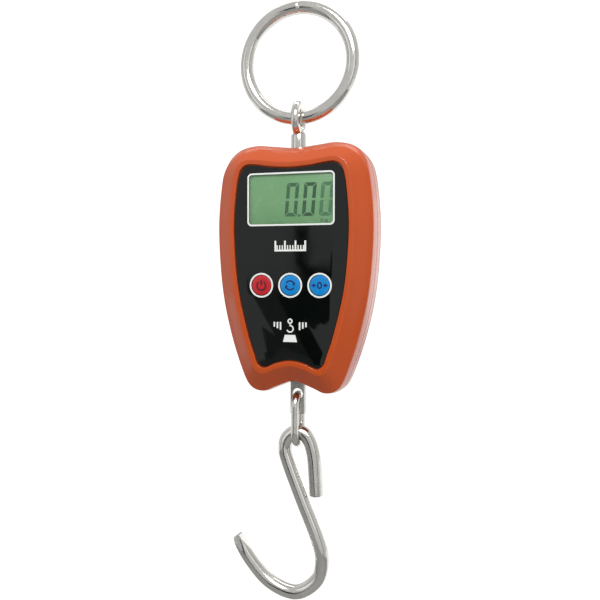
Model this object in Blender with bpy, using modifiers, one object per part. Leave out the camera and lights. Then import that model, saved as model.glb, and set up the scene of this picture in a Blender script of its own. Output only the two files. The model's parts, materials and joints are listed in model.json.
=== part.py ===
"""Hanging digital scale: steel ring, eye, plastic case with display and buttons, link and S-hook.

The world frame has its origin at the top of the ring's inside, where the scale hangs.
+X is to the right seen from the front, the front faces -Y and +Z is up.
Lengths below are in millimetres in the design frame: x from the plane of symmetry, y from the
front panel's face towards the back, z from the row of buttons. world() turns them into metres.
"""
import math

import bmesh
import bpy
from mathutils import Matrix, Vector

MM = 0.001
GAP = 0.3

# Load line: the depth where ring, eye, load cell, plate, link and hook hang in one line
LOAD_Y = 14.0
RING_Z = 106.0
RING_RADIUS = 26.05
RING_WIRE = 3.25
BEARING_Z = RING_Z + RING_RADIUS - RING_WIRE

# Eye bolt
EYE_HOLE_RADIUS = 4.35
EYE_STRAND = 2.1
EYE_FLATTEN = 0.85
EYE_Z = RING_Z - RING_RADIUS + RING_WIRE + GAP - EYE_HOLE_RADIUS
SHANK_RADIUS = 3.65
SHANK_TOP_Z = 71.8
THREAD_RADIUS = 2.9

# Case: half outlines (x, z) of the side wall and of the panel pocket, point for point
WALL_HALF = [
    (0.0, 65.2), (11.0, 66.2), (20.0, 66.9), (28.5, 64.6), (34.4, 58.0), (37.0, 47.0), (38.4, 26.0),
    (36.6, -1.0), (32.4, -22.0), (26.6, -40.0), (22.0, -48.8), (15.5, -51.2), (8.5, -48.6), (0.0, -45.8),
]
POCKET_HALF = [
    (0.0, 54.4), (9.5, 55.0), (16.6, 56.1), (21.4, 56.1), (24.6, 53.2), (26.4, 45.0), (27.6, 26.0),
    (25.7, 0.0), (21.0, -21.4), (17.4, -32.6), (15.8, -36.8), (12.6, -38.6), (6.5, -36.2), (0.0, -35.1),
]
OUTLINE_STEPS = 2
LAND_Y = -0.7
FLOOR_Y = 0.9
FLOOR_BACK_Y = 2.5
PARTING_Y = 13.5
BACK_Y = 29.5
# Sections: (blend from wall outline 0 to pocket outline 1, depth y)
FRONT_SKIN = [
    (1.0, FLOOR_Y), (1.0, LAND_Y), (0.79, LAND_Y), (0.115, 5.6), (0.035, 6.7), (0.0, 8.4),
    (0.0, PARTING_Y - GAP / 2),
]
FRONT_LINING = [
    (0.18, PARTING_Y - GAP / 2), (0.18, 8.8), (0.27, 6.9), (0.9, FLOOR_BACK_Y),
]
REAR_SKIN = [
    (0.46, BACK_Y), (0.28, 28.9), (0.1, 27.0), (0.02, 24.6), (0.0, 22.5), (0.0, PARTING_Y + GAP / 2),
]
REAR_LINING = [
    (0.21, PARTING_Y + GAP / 2), (0.21, PARTING_Y - 1.5), (0.29, PARTING_Y - 1.5),
    (0.29, PARTING_Y + 2.5), (0.2, PARTING_Y + 4.0), (0.2, 22.5), (0.28, 25.6), (0.46, 27.4),
]

SEAT_AIR = 0.1
SLIDE_GAP = 0.4
POST_ROOT_Y = 2.0
FRONT_POST_RADIUS = 3.0
BOARD_POST_RADIUS = 2.2
REAR_POST_RADIUS = 3.9
SCREW_HEAD = 1.4
SCREW_HOLE_RADIUS = 1.5
SCREW_WELL_RADIUS = 2.9

# Front panel, display and buttons
PANEL_THICKNESS = 0.65
PANEL_SHRINK = 0.988
WINDOW_HALF_WIDTH = 20.2
WINDOW_Z = (28.3, 51.4)
WINDOW_CORNER = 2.0
WINDOW_Y = 0.05
BUTTONS = {"power": -14.0, "mode": 0.0, "tare": 14.0}
BUTTON_RADIUS = 4.7
BUTTON_TRAVEL = 0.5
BUTTON_HOLE_DEPTH = 3.5
PLUNGER_RADIUS = 1.7
BOARD_Y = 7.0
BOARD_THICKNESS = 1.6
BOARD_HALF_WIDTH = 23.4
BOARD_Z = (-27.0, 54.0)
LCD_HALF_WIDTH = 21.8
LCD_Y = (1.0, 2.8)
LCD_Z = (26.2, 52.8)
LCD_CORNER = 1.0
BACKLIGHT_HALF_WIDTH = 21.2
BACKLIGHT_Y = (3.1, 6.3)
BACKLIGHT_Z = (28.8, 52.6)
ZEBRA_HALF_WIDTH = 20.0
ZEBRA_Z = (26.5, 28.5)

# Load cell, with its S-shaped cut
CELL_HALF_WIDTH = 12.5
CELL_HALF_DEPTH = 5.0
CELL_Z = (20.0, 54.0)
GAUGE_THICKNESS = 0.25
GAUGE_HALF_DEPTH = 2.5
GAUGE_HALF_HEIGHT = 4.0

# Plate below the case, link and hook
PLATE_HALF_WIDTH = 3.5
PLATE_HALF_DEPTH = 1.6
PLATE_Z = (-61.8, 29.0)
PLATE_PIN_Z = 25.0
LINK_WIRE = 1.85
LINK_HALF_WIDTH = 5.8
LINK_TOP_Z = -52.4
LINK_BOTTOM_Z = -76.15
PLATE_HOLE_RADIUS = 2.7
PLATE_HOLE_Z = LINK_TOP_Z + 0.3
HOOK_ROD = 3.4
HOOK_APEX_Z = LINK_BOTTOM_Z + LINK_WIRE + GAP + HOOK_ROD
# Hook centreline (x, z): free end, upper loop, shank, bowl, tip
HOOK_LINE = [
    (9.3, -101.0), (8.6, -91.0), (7.6, -81.0), (4.9, -73.9), (0.0, HOOK_APEX_Z), (-4.9, -73.4),
    (-6.6, -79.0), (-4.6, -86.5), (2.1, -103.3), (9.2, -120.3), (12.0, -131.0), (9.5, -141.8),
    (-0.8, -149.2), (-13.7, -145.4), (-23.8, -135.5), (-31.4, -123.8),
]

# Batteries (two AAA cells, lying across) and their door
BATTERY_RADIUS = 5.25
BATTERY_LENGTH = 44.5
BATTERY_Y = 22.4
BATTERY_NIPPLE = 0.9
NIPPLE_RADIUS = 1.8
SPRING_WIRE = 0.25
SPRING_SMALL_RADIUS = 2.2
SPRING_LARGE_RADIUS = 3.6
SPRING_LENGTH = 2.9
SPRING_TURNS = 3
SPRING_STEPS_PER_TURN = 10
CONTACT_THICKNESS = 0.5
CONTACT_HALF_SIZE = 4.0
BATTERY_Z = (10.0, -2.0)
BAY_HALF_WIDTH = 25.2
BAY_Z = (-8.4, 16.4)
BAY_FLOOR_Y = 16.9
BAY_WALL = 1.2
DOOR_Y = 28.0
DOOR_RIM = 1.6

CASE_SCREWS = [(27.0, 46.0), (-27.0, 46.0), (17.5, -35.0), (-17.5, -35.0)]
BOARD_SCREWS = [(21.0, 18.5), (-21.0, 18.5)]
SCREW_SEAT_Y = 20.0

COLOURS = {
    "shell_orange": ((0.56, 0.10, 0.030), 0.25, 0.0),
    "panel_black": ((0.006, 0.006, 0.007), 0.08, 0.0),
    "window_clear": ((0.60, 0.66, 0.62), 0.05, 0.0),
    "lcd_green": ((0.17, 0.35, 0.17), 0.25, 0.0),
    "diffuser_white": ((0.75, 0.78, 0.72), 0.45, 0.0),
    "button_red": ((0.50, 0.020, 0.028), 0.25, 0.0),
    "button_blue": ((0.014, 0.22, 0.62), 0.25, 0.0),
    "steel": ((0.62, 0.60, 0.56), 0.18, 1.0),
    "aluminium": ((0.66, 0.67, 0.68), 0.35, 1.0),
    "board_green": ((0.018, 0.14, 0.05), 0.4, 0.0),
    "chip_black": ((0.015, 0.015, 0.016), 0.5, 0.0),
    "zebra_grey": ((0.10, 0.10, 0.11), 0.7, 0.0),
    "nickel": ((0.70, 0.67, 0.60), 0.25, 1.0),
    "gauge_film": ((0.60, 0.30, 0.06), 0.4, 0.0),
    "cable_red": ((0.45, 0.015, 0.012), 0.5, 0.0),
    "cable_black": ((0.012, 0.012, 0.012), 0.5, 0.0),
    "cable_grey": ((0.22, 0.22, 0.23), 0.5, 0.0),
    "battery_wrap": ((0.04, 0.05, 0.07), 0.3, 0.0),
}

X_AXIS = Vector((1.0, 0.0, 0.0))
Y_AXIS = Vector((0.0, 1.0, 0.0))
Z_AXIS = Vector((0.0, 0.0, 1.0))


def world(x, y, z):
    """Design-frame millimetres to world metres."""
    return Vector((x, y - LOAD_Y, z - BEARING_Z)) * MM


# ---------------------------------------------------------------- scene and collections

def clear_scene():
    for item in list(bpy.data.objects):
        bpy.data.objects.remove(item, do_unlink=True)


def new_collection(name):
    made = bpy.data.collections.new(name)
    bpy.context.scene.collection.children.link(made)
    return made


def material(name):
    made = bpy.data.materials.get(name)
    if made is None:
        colour, roughness, metallic = COLOURS[name]
        made = bpy.data.materials.new(name)
        made.use_nodes = True
        shader = made.node_tree.nodes["Principled BSDF"]
        shader.inputs["Base Color"].default_value = (*colour, 1.0)
        shader.inputs["Roughness"].default_value = roughness
        shader.inputs["Metallic"].default_value = metallic
    return made


clear_scene()
PARTS = new_collection("hanging_scale")
CUTTERS = new_collection("cutters")


def add_object(name, mesh, material_name=None):
    """Links a mesh to the parts, or to the hidden cutters when it has no material."""
    made = bpy.data.objects.new(name, mesh)
    if material_name is None:
        CUTTERS.objects.link(made)
        made.hide_render = True
        made.display_type = "WIRE"
    else:
        PARTS.objects.link(made)
        mesh.materials.append(material(material_name))
    return made


def mesh_from(bm, name):
    bmesh.ops.recalc_face_normals(bm, faces=bm.faces)
    mesh = bpy.data.meshes.new(name)
    bm.to_mesh(mesh)
    bm.free()
    mesh.shade_smooth()
    mesh.set_sharp_from_angle(angle=math.radians(35))
    return mesh


def add_empty(name, point, parent=None):
    made = bpy.data.objects.new(name, None)
    PARTS.objects.link(made)
    made.location = point
    if parent is not None:
        attach(made, parent)
    return made


def attach(child, parent):
    """Parents a placed object without moving it."""
    bpy.context.view_layer.update()
    child.parent = parent
    child.matrix_parent_inverse = parent.matrix_world.inverted()


def set_origin(item, point):
    """Puts an object's origin on a world point, leaving its shape in place."""
    bpy.context.view_layer.update()
    shift = item.matrix_world.inverted() @ point
    item.data.transform(Matrix.Translation(-shift))
    item.location = item.matrix_world @ shift


# ---------------------------------------------------------------- primitive solids

def add_box(bm, low, high):
    """A box between two design-frame corners."""
    size = [(b - a) * MM for a, b in zip(low, high)]
    centre = world(*[(a + b) / 2 for a, b in zip(low, high)])
    shape = Matrix.Translation(centre) @ Matrix.Diagonal((*size, 1.0))
    bmesh.ops.create_cube(bm, size=1.0, matrix=shape)


def add_rod(bm, start, end, radius, segments=20, end_radius=None):
    """A cylinder or cone frustum between two design-frame points."""
    a = world(*start)
    b = world(*end)
    along = b - a
    turn = Z_AXIS.rotation_difference(along).to_matrix().to_4x4()
    top = radius if end_radius is None else end_radius
    bmesh.ops.create_cone(
        bm, cap_ends=True, segments=segments, radius1=radius * MM, radius2=top * MM,
        depth=along.length, matrix=Matrix.Translation((a + b) / 2) @ turn,
    )


def box(name, low, high, material_name=None, bevel=0.0):
    bm = bmesh.new()
    add_box(bm, low, high)
    made = add_object(name, mesh_from(bm, name), material_name)
    if bevel:
        round_edges(made, bevel)
    return made


def rod(name, start, end, radius, material_name=None, segments=20):
    bm = bmesh.new()
    add_rod(bm, start, end, radius, segments)
    return add_object(name, mesh_from(bm, name), material_name)


def round_edges(item, width, segments=1):
    modifier = item.modifiers.new("edges", "BEVEL")
    modifier.width = width * MM
    modifier.segments = segments
    modifier.limit_method = "ANGLE"
    modifier.angle_limit = math.radians(40)


def combine(target, other, operation="DIFFERENCE"):
    modifier = target.modifiers.new(operation.lower(), "BOOLEAN")
    modifier.operation = operation
    modifier.object = other


def turned(name, profile, point, axis, material_name, steps=20):
    """A solid of revolution: profile (radius, height), top to bottom, about an axis at a point."""
    mesh = bpy.data.meshes.new(name)
    points = [(radius * MM, 0.0, height * MM) for radius, height in profile]
    mesh.from_pydata(points, [(i, i + 1) for i in range(len(points) - 1)], [])
    made = add_object(name, mesh, material_name)
    made.location = world(*point)
    made.rotation_euler = Z_AXIS.rotation_difference(axis).to_euler()
    screw = made.modifiers.new("turn", "SCREW")
    screw.steps = steps
    screw.render_steps = steps
    screw.use_merge_vertices = True
    screw.merge_threshold = 0.00001
    screw.use_smooth_shade = True
    return made


def wire_mesh(name, points, radius, closed=False, resolution=2):
    """A round wire along world points, as a closed mesh."""
    curve = bpy.data.curves.new(name, "CURVE")
    curve.dimensions = "3D"
    curve.bevel_depth = radius * MM
    curve.bevel_resolution = resolution
    curve.use_fill_caps = not closed
    spline = curve.splines.new("POLY")
    spline.points.add(len(points) - 1)
    for slot, point in zip(spline.points, points):
        slot.co = (*point, 1.0)
    spline.use_cyclic_u = closed
    holder = bpy.data.objects.new(name + "_curve", curve)
    CUTTERS.objects.link(holder)
    bpy.context.view_layer.update()
    evaluated = holder.evaluated_get(bpy.context.evaluated_depsgraph_get())
    mesh = bpy.data.meshes.new_from_object(evaluated)
    bpy.data.objects.remove(holder, do_unlink=True)
    bm = bmesh.new()
    bm.from_mesh(mesh)
    bmesh.ops.remove_doubles(bm, verts=bm.verts, dist=0.000001)
    return mesh_from(bm, name)


def wire(name, points, radius, material_name, closed=False, resolution=2):
    return add_object(name, wire_mesh(name, points, radius, closed, resolution), material_name)


# ---------------------------------------------------------------- smooth lines and lofts

def spline(points, steps, closed):
    """Catmull-Rom curve through tuples of any length."""
    count = len(points)
    last = count if closed else count - 1
    result = []
    for i in range(last):
        a = points[i - 1] if closed or i > 0 else points[0]
        b = points[i]
        c = points[(i + 1) % count]
        d = points[(i + 2) % count] if closed or i + 2 < count else points[-1]
        for k in range(steps):
            t = k / steps
            result.append(tuple(
                0.5 * (2 * q + (r - p) * t + (2 * p - 5 * q + 4 * r - s) * t ** 2
                       + (3 * q - p - 3 * r + s) * t ** 3)
                for p, q, r, s in zip(a, b, c, d)
            ))
    if not closed:
        result.append(tuple(points[-1]))
    return result


def whole_outline(half):
    """The closed outline: the right half, then its mirror image back up the left side."""
    return half + [(-x, z) for x, z in reversed(half[1:-1])]


WALL = spline(whole_outline(WALL_HALF), OUTLINE_STEPS, closed=True)
POCKET = spline(whole_outline(POCKET_HALF), OUTLINE_STEPS, closed=True)


def ring_at(blend, y):
    return [
        world(wx + (px - wx) * blend, y, wz + (pz - wz) * blend)
        for (wx, wz), (px, pz) in zip(WALL, POCKET)
    ]


def loft(name, sections, material_name):
    """A closed solid through outline rings, with a flat cap on the first and on the last."""
    bm = bmesh.new()
    rings = [[bm.verts.new(point) for point in ring_at(*section)] for section in sections]
    count = len(rings[0])
    for near, far in zip(rings, rings[1:]):
        for i in range(count):
            j = (i + 1) % count
            bm.faces.new((near[i], near[j], far[j], far[i]))
    bm.faces.new(rings[0])
    bm.faces.new(rings[-1])
    return add_object(name, mesh_from(bm, name), material_name)


def plate(name, outline, y_front, y_back, material_name=None):
    """A flat plate: a filled 2D outline (x, z), extruded through its depth."""
    curve = bpy.data.curves.new(name, "CURVE")
    curve.dimensions = "2D"
    curve.fill_mode = "BOTH"
    curve.extrude = (y_back - y_front) / 2 * MM
    line = curve.splines.new("POLY")
    line.points.add(len(outline) - 1)
    for slot, (x, z) in zip(line.points, outline):
        slot.co = (x * MM, z * MM, 0.0, 1.0)
    line.use_cyclic_u = True
    holder = bpy.data.objects.new(name + "_curve", curve)
    CUTTERS.objects.link(holder)
    bpy.context.view_layer.update()
    evaluated = holder.evaluated_get(bpy.context.evaluated_depsgraph_get())
    mesh = bpy.data.meshes.new_from_object(evaluated)
    bpy.data.objects.remove(holder, do_unlink=True)
    stand = Matrix.Translation(world(0, (y_front + y_back) / 2, 0)) @ Matrix.Rotation(math.pi / 2, 4, "X")
    mesh.transform(stand)
    bm = bmesh.new()
    bm.from_mesh(mesh)
    bmesh.ops.remove_doubles(bm, verts=bm.verts, dist=0.000001)
    return add_object(name, mesh_from(bm, name), material_name)


def rounded_rectangle(half_width, low_z, high_z, corner, steps=4):
    points = []
    centres = [
        (half_width - corner, high_z - corner, 0), (-half_width + corner, high_z - corner, 90),
        (-half_width + corner, low_z + corner, 180), (half_width - corner, low_z + corner, 270),
    ]
    for x, z, start in centres:
        for k in range(steps + 1):
            angle = math.radians(start + 90 * k / steps)
            points.append((x + corner * math.cos(angle), z + corner * math.sin(angle)))
    return points


# ---------------------------------------------------------------- ring, eye and load train

def make_ring():
    bpy.ops.mesh.primitive_torus_add(
        major_segments=44, minor_segments=10, major_radius=RING_RADIUS * MM,
        minor_radius=RING_WIRE * MM, location=world(0, LOAD_Y, RING_Z), rotation=(math.pi / 2, 0, 0),
    )
    made = bpy.context.active_object
    for holder in list(made.users_collection):
        holder.objects.unlink(made)
    PARTS.objects.link(made)
    made.name = "hang_ring"
    made.data.materials.append(material("steel"))
    made.data.shade_smooth()
    return made


def make_eye_bolt():
    """A flattened eye on a round shank that screws into the load cell."""
    profile = [
        (0.0, 74.4), (1.5, 74.4), (SHANK_RADIUS, SHANK_TOP_Z), (SHANK_RADIUS, 58.0),
        (THREAD_RADIUS, 57.4), (THREAD_RADIUS, 42.0), (0.0, 42.0),
    ]
    heights = [(radius, z - EYE_Z) for radius, z in profile]
    made = turned("eye_bolt", heights, (0, LOAD_Y, EYE_Z), Z_AXIS, "steel")
    bpy.ops.mesh.primitive_torus_add(
        major_segments=28, minor_segments=10, major_radius=(EYE_HOLE_RADIUS + EYE_STRAND) * MM,
        minor_radius=EYE_STRAND * MM,
    )
    eye = bpy.context.active_object
    for holder in list(eye.users_collection):
        holder.objects.unlink(eye)
    CUTTERS.objects.link(eye)
    eye.name = "eye_loop"
    eye.hide_render = True
    eye.display_type = "WIRE"
    flat = Matrix.Diagonal((EYE_FLATTEN, 1.0, 1.0, 1.0)) @ Matrix.Rotation(math.pi / 2, 4, "Y")
    eye.data.transform(Matrix.Translation(world(0, LOAD_Y, EYE_Z)) @ flat)
    eye.location = (0.0, 0.0, 0.0)
    combine(made, eye, "UNION")
    return made


def make_eye_nut():
    bm = bmesh.new()
    add_rod(bm, (0, LOAD_Y, CELL_Z[1] + GAP), (0, LOAD_Y, CELL_Z[1] + 3.1), 5.4, segments=6)
    made = add_object("eye_nut", mesh_from(bm, "eye_nut"), "nickel")
    combine(made, rod("eye_nut_bore", (0, LOAD_Y, 50), (0, LOAD_Y, 60), THREAD_RADIUS + GAP, segments=20))
    return made


def make_load_cell():
    """An aluminium block cut to an S, with a bore for the bolt and a slot for the plate."""
    low_z, high_z = CELL_Z
    middle = (low_z + high_z) / 2
    made = box(
        "load_cell", (-CELL_HALF_WIDTH, LOAD_Y - CELL_HALF_DEPTH, low_z),
        (CELL_HALF_WIDTH, LOAD_Y + CELL_HALF_DEPTH, high_z), "aluminium",
    )
    bm = bmesh.new()
    add_rod(bm, (0, LOAD_Y, 41.0), (0, LOAD_Y, 60), THREAD_RADIUS + GAP)
    add_rod(bm, (0, 0, middle), (0, 30, middle), 3.4)
    for side in (1, -1):
        slot_z = middle + side * 5.4
        reach = sorted((side * -6.0, side * 20.0))
        add_box(bm, (reach[0], 0, slot_z - 0.6), (reach[1], 30, slot_z + 0.6))
    add_box(
        bm, (-PLATE_HALF_WIDTH - GAP, LOAD_Y - PLATE_HALF_DEPTH - GAP, 10),
        (PLATE_HALF_WIDTH + GAP, LOAD_Y + PLATE_HALF_DEPTH + GAP, PLATE_Z[1] + GAP),
    )
    combine(made, add_object("load_cell_cuts", mesh_from(bm, "load_cell_cuts")))
    combine(made, rod("cell_pin_bore", (0, 0, PLATE_PIN_Z), (0, 30, PLATE_PIN_Z), 1.5 + GAP, segments=16))
    return made


def make_plate():
    """The flat bar that hangs from the load cell and carries the link."""
    made = box(
        "hook_plate", (-PLATE_HALF_WIDTH, LOAD_Y - PLATE_HALF_DEPTH, PLATE_Z[0]),
        (PLATE_HALF_WIDTH, LOAD_Y + PLATE_HALF_DEPTH, PLATE_Z[1]), "steel",
    )
    bm = bmesh.new()
    add_rod(bm, (0, 0, PLATE_HOLE_Z), (0, 30, PLATE_HOLE_Z), PLATE_HOLE_RADIUS, segments=24)
    add_rod(bm, (0, 0, PLATE_PIN_Z), (0, 30, PLATE_PIN_Z), 1.5 + GAP, segments=16)
    combine(made, add_object("hook_plate_holes", mesh_from(bm, "hook_plate_holes")))
    return made


def make_link():
    """A chain link in the plane of the load line, seen edge on from the front."""
    points = []
    for z, start in ((LINK_TOP_Z - LINK_HALF_WIDTH, 0), (LINK_BOTTOM_Z + LINK_HALF_WIDTH, 180)):
        for k in range(13):
            angle = math.radians(start + 180 * k / 12)
            offset = LINK_HALF_WIDTH * math.cos(angle)
            points.append(world(0, LOAD_Y + offset, z + LINK_HALF_WIDTH * math.sin(angle)))
    return wire("chain_link", points, LINK_WIRE, "steel", closed=True, resolution=3)


def make_hook():
    """An S-hook of round rod: small upper loop, straight shank, wide bowl, wedge-ground tip."""
    line = spline(HOOK_LINE, 3, closed=False)
    points = [world(x, LOAD_Y, z) for x, z in line]
    made = wire("s_hook", points, HOOK_ROD, "steel", resolution=3)
    tip = Vector(points[-1])
    along = (tip - Vector(points[-3])).normalized()
    bm = bmesh.new()
    for side in (-1, 1):
        outward = Y_AXIS.cross(along) * side
        lean = math.atan2(HOOK_ROD - 1.0, 8.0)
        face = (outward * math.cos(lean) + along * math.sin(lean)).normalized()
        across = face.cross(along).normalized()
        up = across.cross(face)
        turn = Matrix((face, across, up)).transposed().to_4x4()
        centre = tip + outward * 1.0 * MM + face * 5.0 * MM
        shape = Matrix.Translation(centre) @ turn @ Matrix.Diagonal((0.01, 0.02, 0.03, 1.0))
        bmesh.ops.create_cube(bm, size=1.0, matrix=shape)
    combine(made, add_object("hook_tip_grinds", mesh_from(bm, "hook_tip_grinds")))
    return made


# ---------------------------------------------------------------- case

def make_front_shell():
    made = loft("front_shell", FRONT_SKIN + FRONT_LINING, "shell_orange")
    posts = bmesh.new()
    for x, z in CASE_SCREWS:
        add_rod(posts, (x, POST_ROOT_Y, z), (x, PARTING_Y - 0.5, z), FRONT_POST_RADIUS, segments=16)
    for x, z in BOARD_SCREWS:
        add_rod(posts, (x, POST_ROOT_Y, z), (x, BOARD_Y - SEAT_AIR, z), BOARD_POST_RADIUS, segments=12)
    combine(made, add_object("front_posts", mesh_from(posts, "front_posts")), "UNION")
    cuts = bmesh.new()
    for x, z in CASE_SCREWS:
        add_rod(cuts, (x, 5.0, z), (x, 20.0, z), 1.3, segments=12)
    for x, z in BOARD_SCREWS:
        add_rod(cuts, (x, 3.2, z), (x, 9.0, z), 1.1, segments=10)
    for x in BUTTONS.values():
        add_rod(cuts, (x, -2.0, 0), (x, BUTTON_HOLE_DEPTH, 0), BUTTON_RADIUS + 0.5, segments=24)
    add_rod(cuts, (0, LOAD_Y, 50), (0, LOAD_Y, 80), SHANK_RADIUS + SLIDE_GAP, segments=24)
    add_box(cuts, (-PLATE_HALF_WIDTH - SLIDE_GAP, LOAD_Y - PLATE_HALF_DEPTH - SLIDE_GAP, -60),
            (PLATE_HALF_WIDTH + SLIDE_GAP, LOAD_Y + PLATE_HALF_DEPTH + SLIDE_GAP, -40))
    combine(made, add_object("front_cuts", mesh_from(cuts, "front_cuts")))
    opening = rounded_rectangle(LCD_HALF_WIDTH + SLIDE_GAP, LCD_Z[0] - SLIDE_GAP, LCD_Z[1] + SLIDE_GAP,
                                LCD_CORNER)
    combine(made, plate("front_window_cut", opening, -3.0, 4.0))
    return made


def make_rear_shell():
    made = loft("rear_shell", REAR_SKIN + REAR_LINING, "shell_orange")
    posts = bmesh.new()
    for x, z in CASE_SCREWS:
        add_rod(posts, (x, PARTING_Y, z), (x, DOOR_Y, z), REAR_POST_RADIUS, segments=16)
    add_box(posts, (-BAY_HALF_WIDTH - BAY_WALL, BAY_FLOOR_Y - BAY_WALL, BAY_Z[0] - BAY_WALL),
            (BAY_HALF_WIDTH + BAY_WALL, 28.6, BAY_Z[1] + BAY_WALL))
    combine(made, add_object("rear_posts", mesh_from(posts, "rear_posts")), "UNION")
    cuts = bmesh.new()
    for x, z in CASE_SCREWS:
        head_y = SCREW_SEAT_Y - SCREW_HEAD - GAP
        add_rod(cuts, (x, 10.0, z), (x, head_y, z), SCREW_HOLE_RADIUS, segments=12)
        add_rod(cuts, (x, head_y, z), (x, 35.0, z), SCREW_WELL_RADIUS, segments=16)
    add_rod(cuts, (0, LOAD_Y, 50), (0, LOAD_Y, 80), SHANK_RADIUS + SLIDE_GAP, segments=24)
    add_box(cuts, (-PLATE_HALF_WIDTH - SLIDE_GAP, LOAD_Y - PLATE_HALF_DEPTH - SLIDE_GAP, -60),
            (PLATE_HALF_WIDTH + SLIDE_GAP, LOAD_Y + PLATE_HALF_DEPTH + SLIDE_GAP, -40))
    add_box(cuts, (-BAY_HALF_WIDTH, BAY_FLOOR_Y, BAY_Z[0]), (BAY_HALF_WIDTH, 32, BAY_Z[1]))
    combine(made, add_object("rear_cuts", mesh_from(cuts, "rear_cuts")))
    combine(made, box("door_rebate", (-BAY_HALF_WIDTH - DOOR_RIM, DOOR_Y - GAP, BAY_Z[0] - DOOR_RIM),
                      (BAY_HALF_WIDTH + DOOR_RIM, 32, BAY_Z[1] + DOOR_RIM)))
    return made


def make_door():
    """The battery door. It hangs on its top edge and swings out at the back."""
    low = (-BAY_HALF_WIDTH - DOOR_RIM + GAP, DOOR_Y, BAY_Z[0] - DOOR_RIM + GAP)
    high = (BAY_HALF_WIDTH + DOOR_RIM - GAP, BACK_Y, BAY_Z[1] + DOOR_RIM - 0.5)
    return box("battery_door", low, high, "shell_orange")


def make_panel():
    outline = [(x * PANEL_SHRINK, 10 + (z - 10) * PANEL_SHRINK) for x, z in POCKET]
    made = plate("front_panel", outline, 0.0, PANEL_THICKNESS, "panel_black")
    cuts = bmesh.new()
    for x in BUTTONS.values():
        add_rod(cuts, (x, -2.0, 0), (x, 3.0, 0), BUTTON_RADIUS + GAP, segments=24)
    combine(made, add_object("panel_holes", mesh_from(cuts, "panel_holes")))
    opening = rounded_rectangle(WINDOW_HALF_WIDTH, *WINDOW_Z, WINDOW_CORNER)
    combine(made, plate("panel_window_cut", opening, -3.0, 3.0))
    return made


def make_display():
    low_z, high_z = WINDOW_Z
    inner = rounded_rectangle(WINDOW_HALF_WIDTH - GAP, low_z + GAP, high_z - GAP, WINDOW_CORNER - GAP)
    return [
        plate("display_window", inner, WINDOW_Y, PANEL_THICKNESS, "window_clear"),
        box("lcd_glass", (-LCD_HALF_WIDTH, LCD_Y[0], LCD_Z[0]),
            (LCD_HALF_WIDTH, LCD_Y[1], LCD_Z[1]), "lcd_green"),
        box("backlight", (-BACKLIGHT_HALF_WIDTH, BACKLIGHT_Y[0], BACKLIGHT_Z[0]),
            (BACKLIGHT_HALF_WIDTH, BACKLIGHT_Y[1], BACKLIGHT_Z[1]), "diffuser_white"),
        box("zebra_strip", (-ZEBRA_HALF_WIDTH, BACKLIGHT_Y[0], ZEBRA_Z[0]),
            (ZEBRA_HALF_WIDTH, BOARD_Y - 0.1, ZEBRA_Z[1]), "zebra_grey"),
    ]


def make_button(name, x):
    """A cap with a flange that keeps it behind the panel and a stem above its switch."""
    profile = [
        (0.0, 0.15), (BUTTON_RADIUS - 0.4, 0.1), (BUTTON_RADIUS, -0.3), (BUTTON_RADIUS, -2.8),
        (BUTTON_RADIUS + 1.0, -2.8), (BUTTON_RADIUS + 1.0, -3.3), (2.0, -3.3), (2.0, -3.5), (0.0, -3.5),
    ]
    colour = "button_red" if name == "power" else "button_blue"
    return turned("button_" + name, profile, (x, 0, 0), -Y_AXIS, colour, steps=24)


def make_switch(name, x):
    bm = bmesh.new()
    add_box(bm, (x - 3, BOARD_Y - 2.6, -3), (x + 3, BOARD_Y - 0.1, 3))
    made = add_object("switch_" + name, mesh_from(bm, "switch_" + name), "chip_black")
    front = BUTTON_TRAVEL + 3.6
    plunger = rod("switch_plunger_" + name, (x, front, 0), (x, BOARD_Y - 1, 0), PLUNGER_RADIUS, segments=12)
    combine(made, plunger, "UNION")
    return made


def make_board():
    """The circuit board, cut away for its screws, with the parts soldered to its back."""
    back = BOARD_Y + BOARD_THICKNESS
    board = box("main_board", (-BOARD_HALF_WIDTH, BOARD_Y, BOARD_Z[0]),
                (BOARD_HALF_WIDTH, back, BOARD_Z[1]), "board_green")
    cuts = bmesh.new()
    for x, z in BOARD_SCREWS:
        add_rod(cuts, (x, 0, z), (x, 12, z), 1.2, segments=12)
    combine(board, add_object("board_holes", mesh_from(cuts, "board_holes")))
    on_back = back + SEAT_AIR
    return [
        board,
        box("main_chip", (-16, on_back, -14), (-6, on_back + 1.6, -4), "chip_black", bevel=0.2),
        box("converter_chip", (7, on_back, -12), (13, on_back + 1.5, -8), "chip_black", bevel=0.15),
        rod("crystal_can", (-4.5, on_back + 1.3, -20), (1.5, on_back + 1.3, -20), 1.2, "nickel", 12),
        rod("capacitor_left", (-18, on_back, -21), (-18, on_back + 4.0, -21), 2.2, "chip_black", 14),
        rod("capacitor_right", (17, on_back, -20), (17, on_back + 4.0, -20), 2.2, "chip_black", 14),
    ]


def make_gauges():
    """A strain gauge on each side of the load cell's middle."""
    middle = (CELL_Z[0] + CELL_Z[1]) / 2
    pieces = []
    for name, side in (("strain_gauge_right", 1), ("strain_gauge_left", -1)):
        near = CELL_HALF_WIDTH + SEAT_AIR
        span = sorted((side * near, side * (near + GAUGE_THICKNESS)))
        low = (span[0], LOAD_Y - GAUGE_HALF_DEPTH, middle - GAUGE_HALF_HEIGHT)
        high = (span[1], LOAD_Y + GAUGE_HALF_DEPTH, middle + GAUGE_HALF_HEIGHT)
        pieces.append(box(name, low, high, "gauge_film"))
    return pieces


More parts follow.
